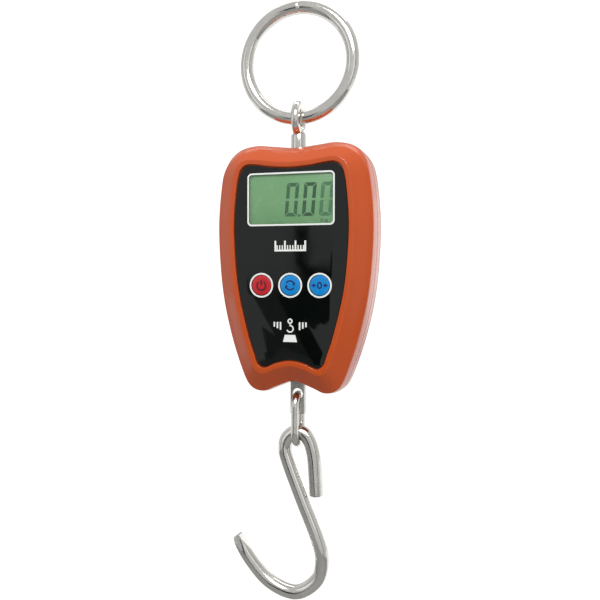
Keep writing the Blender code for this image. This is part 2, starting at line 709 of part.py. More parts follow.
def make_batteries():
    pieces = []
    for name, z, side in (("battery_upper", BATTERY_Z[0], 1), ("battery_lower", BATTERY_Z[1], -1)):
        end = BATTERY_LENGTH / 2
        half = end - BATTERY_NIPPLE
        profile = [
            (0.0, end), (NIPPLE_RADIUS, end), (NIPPLE_RADIUS, half), (BATTERY_RADIUS, half),
            (BATTERY_RADIUS, -half), (0.0, -half),
        ]
        pieces.append(turned(name, profile, (0, BATTERY_Y, z), X_AXIS * side, "battery_wrap", steps=16))
    return pieces


def make_contacts():
    """At each end of the bay, a coil spring for one cell and a plate for the other."""
    pieces = []
    upper_z, lower_z = BATTERY_Z
    steps = SPRING_TURNS * SPRING_STEPS_PER_TURN
    start = BATTERY_LENGTH / 2 - BATTERY_NIPPLE + GAP + SPRING_WIRE
    for name, z, side in (("contact_spring_right", lower_z, 1), ("contact_spring_left", upper_z, -1)):
        points = []
        for k in range(steps + 1):
            angle = 2 * math.pi * k / SPRING_STEPS_PER_TURN
            share = k / steps
            radius = SPRING_SMALL_RADIUS + (SPRING_LARGE_RADIUS - SPRING_SMALL_RADIUS) * share
            y = BATTERY_Y + radius * math.cos(angle)
            points.append(world(side * (start + share * SPRING_LENGTH), y, z + radius * math.sin(angle)))
        pieces.append(wire(name, points, SPRING_WIRE, "nickel", resolution=1))
    near = BATTERY_LENGTH / 2 + GAP
    half = CONTACT_HALF_SIZE
    for name, z, side in (("contact_plate_right", upper_z, 1), ("contact_plate_left", lower_z, -1)):
        span = sorted((side * near, side * (near + CONTACT_THICKNESS)))
        pieces.append(box(name, (span[0], BATTERY_Y - half, z - half), (span[1], BATTERY_Y + half, z + half),
                          "nickel"))
    return pieces


def make_cable(name, route, radius, material_name):
    points = [world(*point) for point in spline(route, 4, closed=False)]
    return wire(name, points, radius, material_name)


def make_cables():
    back = BOARD_Y + BOARD_THICKNESS
    return [
        make_cable("gauge_cable", [
            (14.0, LOAD_Y, 37), (17.5, LOAD_Y, 34), (18.5, 12.5, 26), (17.0, 10.6, 12), (12.5, 10.0, -4),
        ], 0.6, "cable_grey"),
        make_cable("battery_lead_red", [
            (-28.0, 21, 6), (-28.8, 18, 1), (-28.0, 13.5, -8), (-23.0, 10.5, -14), (-20.0, back + 1.2, -14),
        ], 0.5, "cable_red"),
        make_cable("battery_lead_black", [
            (28.0, 21, -2), (28.6, 18, -6), (27.0, 13.5, -10), (22.5, 10.5, -13), (19.0, back + 1.2, -13),
        ], 0.5, "cable_black"),
    ]


def make_screws():
    pieces = []
    for index, (x, z) in enumerate(CASE_SCREWS, 1):
        profile = [
            (0.0, 0.0), (1.9, 0.0), (2.5, -0.6), (2.5, -SCREW_HEAD), (1.0, -SCREW_HEAD), (1.0, -14.0),
            (0.0, -14.6),
        ]
        seat = SCREW_SEAT_Y
        pieces.append(turned(f"case_screw_{index}", profile, (x, seat, z), Y_AXIS, "nickel", steps=12))
    for index, (x, z) in enumerate(BOARD_SCREWS, 1):
        profile = [(0.0, 0.0), (1.9, 0.0), (1.9, -1.0), (0.8, -1.0), (0.8, -6.0), (0.0, -6.4)]
        seat = BOARD_Y + BOARD_THICKNESS + 1.2
        pieces.append(turned(f"board_screw_{index}", profile, (x, seat, z), Y_AXIS, "nickel", steps=12))
    return pieces


# ---------------------------------------------------------------- assembly

def build():
    make_ring()
    swing = world(0, LOAD_Y, RING_Z - RING_RADIUS)
    case_pivot = add_empty("case_pivot", swing)
    fixed = [
        make_eye_bolt(), make_eye_nut(), make_load_cell(), make_plate(), make_front_shell(),
        make_rear_shell(), make_panel(),
        rod("plate_pin", (0, LOAD_Y - 4.7, PLATE_PIN_Z), (0, LOAD_Y + 4.7, PLATE_PIN_Z), 1.5, "nickel", 16),
    ]
    fixed += make_display() + make_board() + make_gauges() + make_batteries() + make_contacts()
    fixed += make_cables() + make_screws()
    for name, x in BUTTONS.items():
        fixed.append(make_button(name, x))
        fixed.append(make_switch(name, x))
    for item in fixed:
        attach(item, case_pivot)
    door = make_door()
    set_origin(door, world(0, (DOOR_Y + BACK_Y) / 2, BAY_Z[1] + DOOR_RIM - 1.1))
    attach(door, case_pivot)

    link_pivot = add_empty("link_pivot", world(0, LOAD_Y, LINK_TOP_Z), case_pivot)
    attach(make_link(), link_pivot)
    hook_pivot = add_empty("hook_pivot", world(0, LOAD_Y, HOOK_APEX_Z), link_pivot)
    attach(make_hook(), hook_pivot)


build()
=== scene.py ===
import json
import math

import bmesh
import bpy
from mathutils import Matrix, Vector

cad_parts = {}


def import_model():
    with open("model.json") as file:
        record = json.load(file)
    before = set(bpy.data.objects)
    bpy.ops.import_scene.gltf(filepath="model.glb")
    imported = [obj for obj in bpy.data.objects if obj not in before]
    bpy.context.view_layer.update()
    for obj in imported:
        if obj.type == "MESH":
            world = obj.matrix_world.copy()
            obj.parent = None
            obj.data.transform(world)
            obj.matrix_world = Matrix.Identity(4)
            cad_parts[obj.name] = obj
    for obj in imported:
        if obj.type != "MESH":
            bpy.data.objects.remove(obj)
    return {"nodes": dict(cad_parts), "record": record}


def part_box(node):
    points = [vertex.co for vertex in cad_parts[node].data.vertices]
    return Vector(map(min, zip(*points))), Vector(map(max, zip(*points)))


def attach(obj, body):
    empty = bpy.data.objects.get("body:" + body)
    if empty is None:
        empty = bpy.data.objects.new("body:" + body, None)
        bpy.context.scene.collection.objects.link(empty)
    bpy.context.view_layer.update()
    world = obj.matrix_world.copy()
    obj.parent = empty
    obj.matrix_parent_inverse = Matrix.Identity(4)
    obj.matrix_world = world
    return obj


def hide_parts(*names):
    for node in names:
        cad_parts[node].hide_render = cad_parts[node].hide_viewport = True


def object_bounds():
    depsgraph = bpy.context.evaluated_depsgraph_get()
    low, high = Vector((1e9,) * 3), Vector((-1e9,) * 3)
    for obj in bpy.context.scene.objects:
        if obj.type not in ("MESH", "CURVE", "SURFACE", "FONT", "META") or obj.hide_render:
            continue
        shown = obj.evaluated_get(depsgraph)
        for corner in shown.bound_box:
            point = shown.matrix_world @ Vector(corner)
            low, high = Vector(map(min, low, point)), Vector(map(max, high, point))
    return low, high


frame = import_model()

CAD_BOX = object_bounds()

# ---------------------------------------------------------------- where things are
# Lengths are millimetres in the design frame: x from the plane of symmetry, y from the front
# panel's face towards the back, z from the row of buttons. The CAD nodes give its origin.
MM = 0.001
NODES = frame["nodes"]


def node_centre(name):
    low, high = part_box(name)
    return (low + high) / 2


PANEL_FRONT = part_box("front_panel")[0].y
BUTTON_ROW = node_centre("button_mode").z
BACK_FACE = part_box("rear_shell")[1].y


def world(x, y, z):
    return Vector((x * MM, PANEL_FRONT + y * MM, BUTTON_ROW + z * MM))


def design(point):
    return Vector((point.x / MM, (point.y - PANEL_FRONT) / MM, (point.z - BUTTON_ROW) / MM))


def design_box(name):
    low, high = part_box(name)
    return design(low), design(high)


LOAD_Y = -PANEL_FRONT / MM
BACK_Y = (BACK_FACE - PANEL_FRONT) / MM
PARTING_Y = design(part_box("front_shell")[1]).y + 0.15

# Half outlines (x, z) of the case's side wall and of the panel pocket, point for point
WALL_HALF = [
    (0.0, 65.2), (11.0, 66.2), (20.0, 66.9), (28.5, 64.6), (34.4, 58.0), (37.0, 47.0), (38.4, 26.0),
    (36.6, -1.0), (32.4, -22.0), (26.6, -40.0), (22.0, -48.8), (15.5, -51.2), (8.5, -48.6), (0.0, -45.8),
]
POCKET_HALF = [
    (0.0, 54.4), (9.5, 55.0), (16.6, 56.1), (21.4, 56.1), (24.6, 53.2), (26.4, 45.0), (27.6, 26.0),
    (25.7, 0.0), (21.0, -21.4), (17.4, -32.6), (15.8, -36.8), (12.6, -38.6), (6.5, -36.2), (0.0, -35.1),
]
OUTLINE_STEPS = 10
LAND_Y = -0.7
FLOOR_Y = 0.9

WINDOW_HALF_WIDTH = 20.2
WINDOW_Z = (28.3, 51.4)
WINDOW_CORNER = 1.4
BUTTON_X = {"power": -14.0, "mode": 0.0, "tare": 14.0}
BUTTON_RADIUS = 4.7

# Hook centreline (x, z): free end, upper loop, shank, bowl, tip
HOOK_LINE = [
    (9.3, -101.0), (8.6, -91.0), (7.6, -81.0), (4.9, -73.4), (0.0, -70.6), (-4.9, -73.4),
    (-6.6, -79.0), (-4.6, -86.5), (2.1, -103.3), (9.2, -120.3), (12.0, -131.0), (9.5, -141.8),
    (-0.8, -148.88), (-13.7, -145.3), (-23.8, -135.5), (-31.4, -123.8),
]
HOOK_ROD = 3.4

# ---------------------------------------------------------------- materials

# Between these two values lies most of a noise texture
NOISE_LOW, NOISE_HIGH = 0.3, 0.7


def new_material(name, colour, roughness, metallic=0.0):
    made = bpy.data.materials.new(name)
    made.use_nodes = True
    shader = made.node_tree.nodes["Principled BSDF"]
    shader.inputs["Base Color"].default_value = (*colour, 1.0)
    shader.inputs["Roughness"].default_value = roughness
    shader.inputs["Metallic"].default_value = metallic
    return made


def shader_of(made):
    return made.node_tree.nodes["Principled BSDF"]


def noise(made, scale, detail=3.0, stretch=(1.0, 1.0, 1.0)):
    """A noise texture in object space, stretched along an axis where its factor is small."""
    nodes, links = made.node_tree.nodes, made.node_tree.links
    place = nodes.new("ShaderNodeTexCoord")
    mapping = nodes.new("ShaderNodeMapping")
    mapping.inputs["Scale"].default_value = stretch
    texture = nodes.new("ShaderNodeTexNoise")
    texture.inputs["Scale"].default_value = scale
    texture.inputs["Detail"].default_value = detail
    links.new(place.outputs["Object"], mapping.inputs["Vector"])
    links.new(mapping.outputs["Vector"], texture.inputs["Vector"])
    return texture.outputs["Fac"]


def ramp(made, source, stops):
    """Maps a value to colours: stops are (position, colour)."""
    node = made.node_tree.nodes.new("ShaderNodeValToRGB")
    elements = node.color_ramp.elements
    while len(elements) < len(stops):
        elements.new(0.5)
    for element, (position, colour) in zip(elements, stops):
        element.position = position
        element.color = (*colour, 1.0)
    made.node_tree.links.new(source, node.inputs["Fac"])
    return node.outputs["Color"]


def spread(made, source, low, high):
    """Maps a noise value to a range of numbers."""
    node = made.node_tree.nodes.new("ShaderNodeMapRange")
    node.inputs["From Min"].default_value = NOISE_LOW
    node.inputs["From Max"].default_value = NOISE_HIGH
    node.inputs["To Min"].default_value = low
    node.inputs["To Max"].default_value = high
    made.node_tree.links.new(source, node.inputs["Value"])
    return node.outputs["Result"]


def bump(made, source, strength, distance):
    node = made.node_tree.nodes.new("ShaderNodeBump")
    node.inputs["Strength"].default_value = strength
    node.inputs["Distance"].default_value = distance
    made.node_tree.links.new(source, node.inputs["Height"])
    made.node_tree.links.new(node.outputs["Normal"], shader_of(made).inputs["Normal"])


def tint(colour, factor):
    return tuple(min(1.0, c * factor) for c in colour)


def textured(name, colour, roughness, metallic=0.0, vary=0.12, mottle=60.0, grain=900.0, grain_depth=0.00002,
             rough_vary=0.08, stretch=(1.0, 1.0, 1.0), strength=0.3):
    """The common finish: a slow colour mottle, uneven gloss and a fine surface grain."""
    made = new_material(name, colour, roughness, metallic)
    links = made.node_tree.links
    slow = noise(made, mottle, 4.0, stretch)
    links.new(
        ramp(made, slow, [(NOISE_LOW, tint(colour, 1 - vary)), (NOISE_HIGH, tint(colour, 1 + vary))]),
        shader_of(made).inputs["Base Color"],
    )
    smoothest = max(0.02, roughness - rough_vary)
    links.new(
        spread(made, noise(made, mottle * 4, 3.0, stretch), smoothest, roughness + rough_vary),
        shader_of(made).inputs["Roughness"],
    )
    bump(made, noise(made, grain, 2.0, stretch), strength, grain_depth)
    return made


def orange_plastic():
    return textured("orange_plastic", (0.52, 0.076, 0.012), 0.20, vary=0.025, mottle=30.0, grain=2600.0,
                    grain_depth=0.000003, rough_vary=0.02, strength=0.1)


def polished_steel(name, along_z):
    """Polished rod with slightly uneven gloss. along_z below 1 draws its fine lines out upright."""
    return textured(name, (0.72, 0.705, 0.665), 0.13, 1.0, vary=0.07, mottle=160.0, grain=2200.0,
                    grain_depth=0.00001, rough_vary=0.05, stretch=(1.0, 1.0, along_z), strength=0.2)


def satin_steel():
    """Tumbled plate: a grainy satin."""
    return textured("satin_steel", (0.60, 0.585, 0.545), 0.32, 1.0, vary=0.16, mottle=500.0, grain=1500.0,
                    grain_depth=0.00004, rough_vary=0.1, strength=0.5)


def panel_black():
    made = textured("panel_gloss_black", (0.0018, 0.0028, 0.0026), 0.07, vary=0.25, mottle=30.0, grain=400.0,
                    grain_depth=0.000004, rough_vary=0.03, strength=0.1)
    shader_of(made).inputs["Specular IOR Level"].default_value = 0.45
    return made


def lcd_green():
    """The lit liquid crystal: a green that is brighter and bluer in places."""
    made = new_material("lcd_green", (0.17, 0.36, 0.17), 0.22)
    links = made.node_tree.links
    greens = [(0.30, (0.115, 0.285, 0.115)), (0.5, (0.145, 0.32, 0.14)), (0.72, (0.17, 0.35, 0.185))]
    colour = ramp(made, noise(made, 38.0, 2.0, (1.0, 1.0, 0.6)), greens)
    links.new(colour, shader_of(made).inputs["Base Color"])
    links.new(colour, shader_of(made).inputs["Emission Color"])
    shader_of(made).inputs["Emission Strength"].default_value = 0.06
    links.new(spread(made, noise(made, 200.0), 0.18, 0.3), shader_of(made).inputs["Roughness"])
    bump(made, noise(made, 1500.0), 0.05, 0.00001)
    return made


def clear_window():
    made = new_material("clear_window", (0.85, 0.95, 0.88), 0.03)
    shader_of(made).inputs["Alpha"].default_value = 0.02
    made.node_tree.links.new(
        spread(made, noise(made, 90.0), 0.02, 0.06), shader_of(made).inputs["Roughness"]
    )
    bump(made, noise(made, 120.0), 0.03, 0.00001)
    return made


STEEL = polished_steel("polished_steel", 1.0)
STEEL_UPRIGHT = polished_steel("polished_steel_upright", 0.08)
SATIN = satin_steel()
ORANGE = orange_plastic()
BLACK = panel_black()
GREEN = lcd_green()
CLEAR = clear_window()
WHITE_PRINT = textured("white_print", (0.85, 0.87, 0.84), 0.35, vary=0.03, mottle=300.0, grain=3000.0)
RED_CAP = textured("red_cap", (0.52, 0.018, 0.026), 0.22, vary=0.10, mottle=180.0, grain=2500.0)
BLUE_CAP = textured("blue_cap", (0.003, 0.23, 0.60), 0.22, vary=0.10, mottle=180.0, grain=2500.0)
RED_ICON = textured("dark_red_print", (0.07, 0.002, 0.006), 0.4, vary=0.1, mottle=300.0)
BLUE_ICON = textured("dark_blue_print", (0.006, 0.012, 0.10), 0.4, vary=0.1, mottle=300.0)
SEGMENT_DARK = textured("segment_dark", (0.008, 0.075, 0.018), 0.3, vary=0.2, mottle=300.0)
SEGMENT_MIDDLE = textured("segment_middle", (0.022, 0.105, 0.036), 0.3, vary=0.15, mottle=300.0)
SEGMENT_FAINT = textured("segment_faint", (0.045, 0.165, 0.066), 0.3, vary=0.12, mottle=300.0)
NICKEL = textured("nickel_plate", (0.66, 0.63, 0.56), 0.25, 1.0, vary=0.1, mottle=400.0, grain=3000.0)
ALUMINIUM = textured("machined_aluminium", (0.66, 0.67, 0.68), 0.34, 1.0, vary=0.08, mottle=200.0,
                     grain=2500.0, stretch=(1.0, 1.0, 0.05))
BOARD = textured("solder_mask", (0.015, 0.13, 0.045), 0.35, vary=0.25, mottle=350.0, grain=1800.0)
EPOXY = textured("moulded_epoxy", (0.016, 0.016, 0.017), 0.55, vary=0.2, mottle=700.0, grain=4000.0)
MILKY = textured("milky_diffuser", (0.74, 0.78, 0.70), 0.45, vary=0.04, mottle=100.0)
ZEBRA = textured("zebra_rubber", (0.10, 0.10, 0.11), 0.7, vary=0.5, mottle=1500.0, stretch=(1.0, 0.1, 0.1))
FILM = textured("gauge_film", (0.60, 0.28, 0.05), 0.35, vary=0.2, mottle=900.0)
WIRE_RED = textured("wire_red", (0.42, 0.012, 0.010), 0.45, vary=0.1, mottle=400.0)
WIRE_BLACK = textured("wire_black", (0.012, 0.012, 0.012), 0.5, vary=0.2, mottle=400.0)
WIRE_GREY = textured("wire_grey", (0.22, 0.22, 0.23), 0.5, vary=0.1, mottle=400.0)
BATTERY = textured("battery_sleeve", (0.03, 0.05, 0.09), 0.28, vary=0.3, mottle=90.0, grain=1500.0)

CARRIED = {
    "nickel": NICKEL, "aluminium": ALUMINIUM, "board_green": BOARD, "chip_black": EPOXY,
    "diffuser_white": MILKY, "zebra_grey": ZEBRA, "gauge_film": FILM, "cable_red": WIRE_RED,
    "cable_black": WIRE_BLACK, "cable_grey": WIRE_GREY, "battery_wrap": BATTERY, "steel": STEEL,
    "shell_orange": ORANGE, "panel_black": BLACK, "window_clear": CLEAR, "lcd_green": GREEN,
    "button_red": RED_CAP, "button_blue": BLUE_CAP,
}


def dress_cad_nodes():
    for part in frame["record"]["subparts"]:
        mesh = NODES[part["node"]].data
        mesh.materials.clear()
        mesh.materials.append(CARRIED[part["material_slot"]])


# ---------------------------------------------------------------- mesh tools


def spline(points, steps, closed):
    """Catmull-Rom curve through tuples of any length."""
    count = len(points)
    result = []
    for i in range(count if closed else count - 1):
        a = points[i - 1] if closed or i > 0 else points[0]
        b = points[i]
        c = points[(i + 1) % count]
        d = points[(i + 2) % count] if closed or i + 2 < count else points[-1]
        for k in range(steps):
            t = k / steps
            result.append(tuple(
                0.5 * (2 * q + (r - p) * t + (2 * p - 5 * q + 4 * r - s) * t ** 2
                       + (3 * q - p - 3 * r + s) * t ** 3)
                for p, q, r, s in zip(a, b, c, d)
            ))
    if not closed:
        result.append(tuple(points[-1]))
    return result


def whole_outline(half):
    return half + [(-x, z) for x, z in reversed(half[1:-1])]


WALL = spline(whole_outline(WALL_HALF), OUTLINE_STEPS, closed=True)
POCKET = spline(whole_outline(POCKET_HALF), OUTLINE_STEPS, closed=True)


def ring_at(blend, y, top_blend=None, top_y=None):
    """One ring of the case. A section may have another place on the case's brow than on its flanks."""
    ring = []
    for (wx, wz), (px, pz) in zip(WALL, POCKET):
        share = 0.0 if top_blend is None else min(max((wz - 50.0) / 14.0, 0.0), 1.0)
        share = share * share * (3 - 2 * share)
        b = blend if top_blend is None else blend + (top_blend - blend) * share
        depth = y if top_y is None else y + (top_y - y) * share
        ring.append(world(wx + (px - wx) * b, depth, wz + (pz - wz) * b))
    return ring


def soften(mesh, angle):
    """Smooth shading, with edges sharper than the angle (degrees) left sharp."""
    mesh.shade_smooth()
    mesh.set_sharp_from_angle(angle=math.radians(angle))


def finish_mesh(bm, name, angle=30.0):
    bmesh.ops.recalc_face_normals(bm, faces=bm.faces)
    mesh = bpy.data.meshes.new(name)
    bm.to_mesh(mesh)
    bm.free()
    soften(mesh, angle)
    return mesh


def piece(name, mesh, material, body, slot, *stands_for):
    made = bpy.data.objects.new(name, mesh)
    bpy.context.scene.collection.objects.link(made)
    mesh.materials.clear()
    mesh.materials.append(material)
    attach(made, body)
    if stands_for:
        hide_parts(*stands_for)
    return made


def bridge(bm, rings, capped=True):
    """Faces between successive rings of vertices, and over the first and the last."""
    count = len(rings[0])
    for near, far in zip(rings, rings[1:]):
        for i in range(count):
            j = (i + 1) % count
            bm.faces.new((near[i], near[j], far[j], far[i]))
    if capped:
        bm.faces.new(rings[0])
        bm.faces.new(rings[-1])


def loft_mesh(name, sections):
    bm = bmesh.new()
    rings = [[bm.verts.new(point) for point in ring_at(*section)] for section in sections]
    bridge(bm, rings)
    return finish_mesh(bm, name, 20.0)


def boolean(mesh, cutter_meshes, operation="DIFFERENCE"):
    """The mesh with solids cut away or joined on, as a new mesh."""
    holder = bpy.data.objects.new("work", mesh)
    bpy.context.scene.collection.objects.link(holder)
    tools = []
    for cutter in cutter_meshes:
        tool = bpy.data.objects.new("tool", cutter)
        bpy.context.scene.collection.objects.link(tool)
        modifier = holder.modifiers.new("cut", "BOOLEAN")
        modifier.operation = operation
        modifier.object = tool
        tools.append(tool)
    bpy.context.view_layer.update()
    evaluated = holder.evaluated_get(bpy.context.evaluated_depsgraph_get())
    made = bpy.data.meshes.new_from_object(evaluated)
    for item in [holder] + tools:
        bpy.data.objects.remove(item, do_unlink=True)
    return made


def rod_mesh(start, end, radius, segments=48, end_radius=None):
    bm = bmesh.new()
    add_rod(bm, start, end, radius, segments, end_radius)
    return finish_mesh(bm, "rod")


def add_rod(bm, start, end, radius, segments=48, end_radius=None):
    a, b = world(*start), world(*end)
    turn = Vector((0, 0, 1)).rotation_difference(b - a).to_matrix().to_4x4()
    top = radius if end_radius is None else end_radius
    bmesh.ops.create_cone(
        bm, cap_ends=True, segments=segments, radius1=radius * MM, radius2=top * MM,
        depth=(b - a).length, matrix=Matrix.Translation((a + b) / 2) @ turn,
    )


def add_box(bm, low, high):
    size = [(b - a) * MM for a, b in zip(low, high)]
    centre = world(*[(a + b) / 2 for a, b in zip(low, high)])
    bmesh.ops.create_cube(bm, size=1.0, matrix=Matrix.Translation(centre) @ Matrix.Diagonal((*size, 1.0)))


def rounded_rectangle(half_width, low_z, high_z, corner):
    steps = 8
    points = []
    centres = [
        (half_width - corner, high_z - corner, 0), (-half_width + corner, high_z - corner, 90),
        (-half_width + corner, low_z + corner, 180), (half_width - corner, low_z + corner, 270),
    ]
    for x, z, start in centres:
        for k in range(steps + 1):
            angle = math.radians(start + 90 * k / steps)
            points.append((x + corner * math.cos(angle), z + corner * math.sin(angle)))
    return points


def circle(x, z, radius, steps=64):
    return [
        (x + radius * math.cos(2 * math.pi * k / steps), z + radius * math.sin(2 * math.pi * k / steps))
        for k in range(steps)
    ]


def inset(outline, amount):
    """An outline moved inwards along its normals; the outline runs anticlockwise seen from the front."""
    area = sum(a[0] * b[1] - b[0] * a[1] for a, b in zip(outline, outline[1:] + outline[:1]))
    sign = 1.0 if area > 0 else -1.0
    result = []
    count = len(outline)
    for i in range(count):
        before, here, after = outline[i - 1], outline[i], outline[(i + 1) % count]
        tangent = Vector((after[0] - before[0], after[1] - before[1])).normalized()
        result.append((here[0] - tangent.y * amount * sign, here[1] + tangent.x * amount * sign))
    return result


def slab_mesh(name, outline, y_front, y_back, edge=0.0):
    """A plate from an outline (x, z), with its front edge rounded over."""
    steps = 3
    bm = bmesh.new()
    rings = [[bm.verts.new(world(x, y_back, z)) for x, z in outline]]
    for k in range(steps + 1 if edge else 1):
        turn = math.pi / 2 * k / steps
        shrink = edge * (1 - math.cos(turn))
        y = y_front + edge * (1 - math.sin(turn))
        rings.append([bm.verts.new(world(x, y, z)) for x, z in inset(outline, shrink)])
    bridge(bm, rings)
    return finish_mesh(bm, name, 24.0)


def band_mesh(name, outer, inner, y_front, y_back):
    """A flat printed band between two outlines with the same number of points."""
    bm = bmesh.new()
    rings = []
    for outline, y in ((outer, y_back), (outer, y_front), (inner, y_front), (inner, y_back)):
        rings.append([bm.verts.new(world(x, y, z)) for x, z in outline])
    bridge(bm, rings + [rings[0]], capped=False)
    return finish_mesh(bm, name)


def revolve_mesh(name, profile, point, axis, steps=64, angle=30.0):
    """A solid of revolution: profile (radius, height) about an axis through a design-frame point."""
    turn = Vector((0, 0, 1)).rotation_difference(Vector(axis)).to_matrix()
    origin = world(*point)
    bm = bmesh.new()
    rings = []
    for radius, height in profile:
        ring = []
        for k in range(steps):
            phi = 2 * math.pi * k / steps
            local = Vector((radius * math.cos(phi), radius * math.sin(phi), height)) * MM
            ring.append(bm.verts.new(origin + turn @ local))
        rings.append(ring)
    bridge(bm, rings)
    return finish_mesh(bm, name, angle)


def sweep_mesh(name, line, side, section, closed=False, sides=32, angle=40.0):
    """A rod along a flat line of design-frame points. side is the direction square to its plane.

    section(along, total), both in mm along the line, gives (radius, low, high, limit): the round is
    cut flat where it passes low or high across the line, or limit to either side.
    """
    points = [world(*point) for point in line]
    count = len(points)
    lengths = [0.0]
    for a, b in zip(points, points[1:]):
        lengths.append(lengths[-1] + (b - a).length / MM)
    bm = bmesh.new()
    rings = []
    for i, point in enumerate(points):
        before = points[i - 1] if closed or i else points[i]
        after = points[(i + 1) % count] if closed or i + 1 < count else points[i]
        across = (after - before).normalized().cross(side)
        radius, low, high, limit = section(lengths[i], lengths[-1])
        ring = []
        for k in range(sides):
            phi = 2 * math.pi * k / sides
            u = min(max(radius * math.cos(phi), -low), high)
            v = min(max(radius * math.sin(phi), -limit), limit)
            ring.append(bm.verts.new(point + (across * u + side * v) * MM))
        rings.append(ring)
    if closed:
        bridge(bm, rings + [rings[0]], capped=False)
    else:
        bridge(bm, rings)
    return finish_mesh(bm, name, angle)


# ---------------------------------------------------------------- ring, eye, plate, link and hook

SIDE_Y = Vector((0, 1, 0))
SIDE_X = Vector((1, 0, 0))


def build_ring():
    """A bent and butt-welded ring. A fine groove at the top marks the weld."""
    low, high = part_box("hang_ring")
    centre = design((low + high) / 2)
    wire = (high.y - low.y) / 2 / MM
    radius = (high.x - low.x) / 2 / MM - wire
    steps = 360

    def section(along, total):
        near_weld = abs(along / (2 * math.pi * radius) - 0.25) * 2 * math.pi * radius
        groove = 0.30 * math.exp(-(near_weld / 0.4) ** 2)
        bead = 0.05 * math.exp(-(near_weld / 2.2) ** 2)
        size = wire - groove + bead
        return size, size, size, size

    line = []
    for k in range(steps):
        angle = 2 * math.pi * k / steps
        line.append((centre.x + radius * math.cos(angle), centre.y, centre.z + radius * math.sin(angle)))
    mesh = sweep_mesh("ring_wire", line, SIDE_Y, section, closed=True, sides=40)
    piece("ring_wire", mesh, STEEL, "ring", "steel", "hang_ring")


def build_eye():
    """The eye, its flared neck and the round shank that goes into the case."""
    low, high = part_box("eye_bolt")
    strand = 2.1
    hole = (high.y - low.y) / 2 / MM - 2 * strand
    centre_z = design(high).z - hole - 2 * strand
    flatten = 0.85
    line = []
    for k in range(96):
        angle = 2 * math.pi * k / 96
        reach = hole + strand
        line.append((0, LOAD_Y + reach * math.cos(angle), centre_z + reach * math.sin(angle)))

    def section(along, total):
        return strand, strand, strand, strand * flatten

    eye = sweep_mesh("eye_loop", line, SIDE_X, section, closed=True, sides=32)
    neck = [
        (0.001, 74.5), (1.25, 74.5), (1.55, 74.2), (2.3, 73.2), (3.1, 72.2), (3.5, 71.75), (3.65, 71.3),
        (3.65, 58.0), (3.4, 57.6), (2.9, 57.4), (2.9, 43.0), (2.6, 42.4), (0.001, 42.2),
    ]
    shank = revolve_mesh("shank", neck, (0, LOAD_Y, 0), (0, 0, 1), steps=48)
    mesh = boolean(shank, [eye], "UNION")
    soften(mesh, 34)
    piece("eye_and_shank", mesh, STEEL_UPRIGHT, "case", "steel", "eye_bolt")


def build_plate():
    """A flat bar with rounded edges and a broken-edged hole."""
    low, high = design_box("hook_plate")
    hole_z, hole_radius = -52.1, 2.7
    bm = bmesh.new()
    add_box(bm, tuple(low), tuple(high))
    bmesh.ops.bevel(bm, geom=list(bm.edges), offset=0.35 * MM, segments=3, affect="EDGES", profile=0.5)
    rim, edge, over = hole_radius + 0.75, 0.25, 0.5
    spool = [
        (0.001, low.y - over), (rim, low.y - over), (hole_radius, low.y + edge),
        (hole_radius, high.y - edge), (rim, high.y + over), (0.001, high.y + over),
    ]
    cutters = [
        revolve_mesh("hole_spool", spool, (0, 0, hole_z), (0, 1, 0), steps=48),
        rod_mesh((0, low.y - 2, 25), (0, high.y + 2, 25), 1.8),
    ]
    mesh = boolean(finish_mesh(bm, "plate_bar"), cutters)
    soften(mesh, 30)
    piece("plate_bar", mesh, SATIN, "case", "steel", "hook_plate")


def build_link():
    low, high = design_box("chain_link")
    wire = (high.x - low.x) / 2
    half = (high.y - low.y) / 2 - wire
    centre_y = (low.y + high.y) / 2
    gap = high.z - low.z - 2 * wire - 2 * half
    low_z = low.z + wire + half
    line = []
    for centre_z, start in ((high.z - wire - half, 0), (low_z, 180)):
        for k in range(25):
            angle = math.radians(start + 180 * k / 24)
            line.append((0, centre_y + half * math.cos(angle), centre_z + half * math.sin(angle)))
        if start == 0:
            for k in range(1, 12):
                line.append((0, centre_y - half, centre_z - gap * k / 12))
    for k in range(1, 12):
        line.append((0, centre_y + half, low_z + gap * k / 12))

    def section(along, total):
        joint = abs(along - total * 0.86)
        size = wire * 0.995 - 0.14 * math.exp(-(joint / 0.25) ** 2)
        return size, size, size, size

    mesh = sweep_mesh("link_wire", line, SIDE_X, section, closed=True, sides=32)
    piece("link_wire", mesh, STEEL_UPRIGHT, "link", "steel", "chain_link")


def build_hook():
    """Round rod bent to an S: cut square at the upper end, ground to a wedge at the tip."""
    flat = spline(HOOK_LINE, 14, closed=False)
    line = [(x, LOAD_Y, z) for x, z in flat]
    chamfer = 0.5
    taper = 9.5

    def section(along, total):
        radius = HOOK_ROD
        if along < chamfer:
            radius -= chamfer - along
        left = total - along
        low = high = limit = radius
        if left < taper:
            share = 1 - left / taper
            high = radius * (1 - 0.62 * share)
            low = radius * (1 - 0.45 * share)
            limit = radius * (1 - 0.30 * share)
        if left < 0.5:
            trim = (0.5 - left) * 0.7
            low, high, limit = low - trim, high - trim, limit - trim
        return radius, low, high, limit

    fine = list(line)
    start, second = Vector(fine[0]), Vector(fine[1])
    fine.insert(1, tuple(start + (second - start).normalized() * chamfer))
    end, last = Vector(fine[-1]), Vector(fine[-2])
    for back in (0.5, 0.25):
        fine.insert(-1, tuple(end + (last - end).normalized() * back))
    mesh = sweep_mesh("hook_rod", fine, SIDE_Y, section, sides=40, angle=28.0)
    piece("hook_rod", mesh, STEEL, "hook", "steel", "s_hook")


# ---------------------------------------------------------------- case


